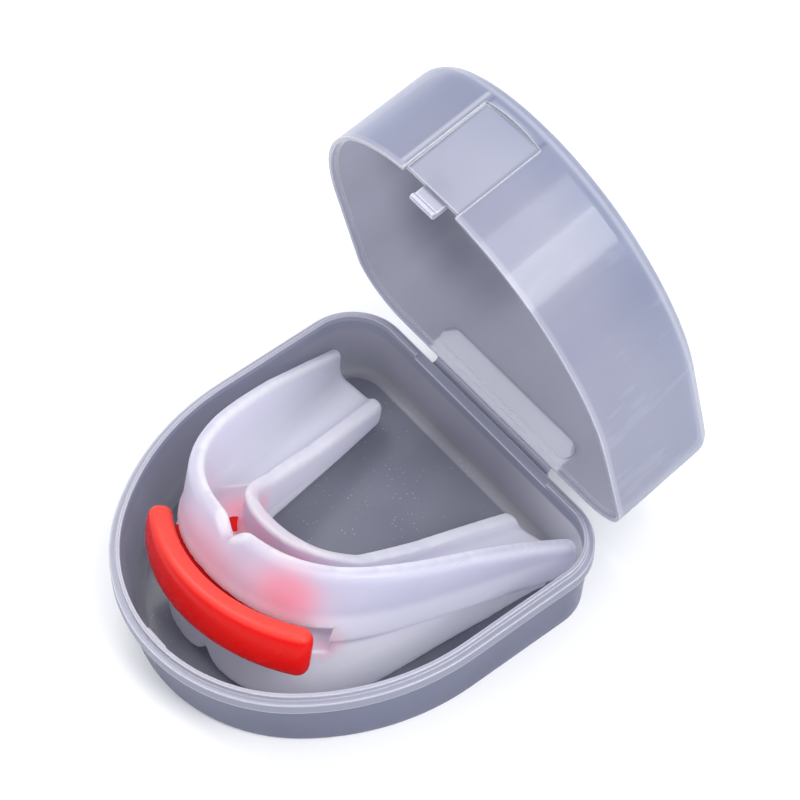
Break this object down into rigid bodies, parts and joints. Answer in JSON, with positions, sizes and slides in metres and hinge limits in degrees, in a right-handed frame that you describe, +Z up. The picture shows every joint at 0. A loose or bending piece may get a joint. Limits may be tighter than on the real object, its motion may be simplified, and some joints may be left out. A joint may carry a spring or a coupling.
{
  "type": "mouthguard with case",
  "caption": "Clear D-shaped travel case with a living-hinge lid and snap tongue, holding a clear horseshoe mouthguard with a red front bumper bar.",
  "frame": {"origin": "centre of the case base's underside, midway between the rim's front and back", "axes": "+Z up; the case opens towards -Y; the hinge runs along X at +Y"},
  "size_m": [0.0796, 0.1079, 0.1035],
  "materials": {
    "case_plastic": "frosted translucent polypropylene with a soft sheen",
    "guard_clear": "milky translucent thermoplastic elastomer, smooth",
    "bumper_red": "glossy bright red elastomer"
  },
  "bodies": {
    "base": {"base_tray": "case_plastic", "hinge_web": "case_plastic"},
    "lid": {"lid_shell": "case_plastic"},
    "tongue": {"latch_tongue": "case_plastic"},
    "mouthguard": {"mouthguard_shell": "guard_clear", "bumper_bar": "bumper_red", "bumper_insert": "bumper_red"}
  },
  "joints": [
    {"name": "lid_hinge", "type": "hinge", "parent": "base", "child": "lid", "pos_m": [0, 0.04284, 0.01703], "axis": [1, 0, 0], "range_deg": [-57, 78]},
    {"name": "latch_flex", "type": "hinge", "parent": "lid", "child": "tongue", "pos_m": [0, 0.03081, 0.09752], "axis": [1, 0, 0], "range_deg": [0, 5], "stiffness_Nm_per_rad": 0.05},
    {"name": "mouthguard_lift", "type": "slide", "parent": "base", "child": "mouthguard", "axis": [0, 0, 1], "range_m": [0, 0.05]}
  ]
}
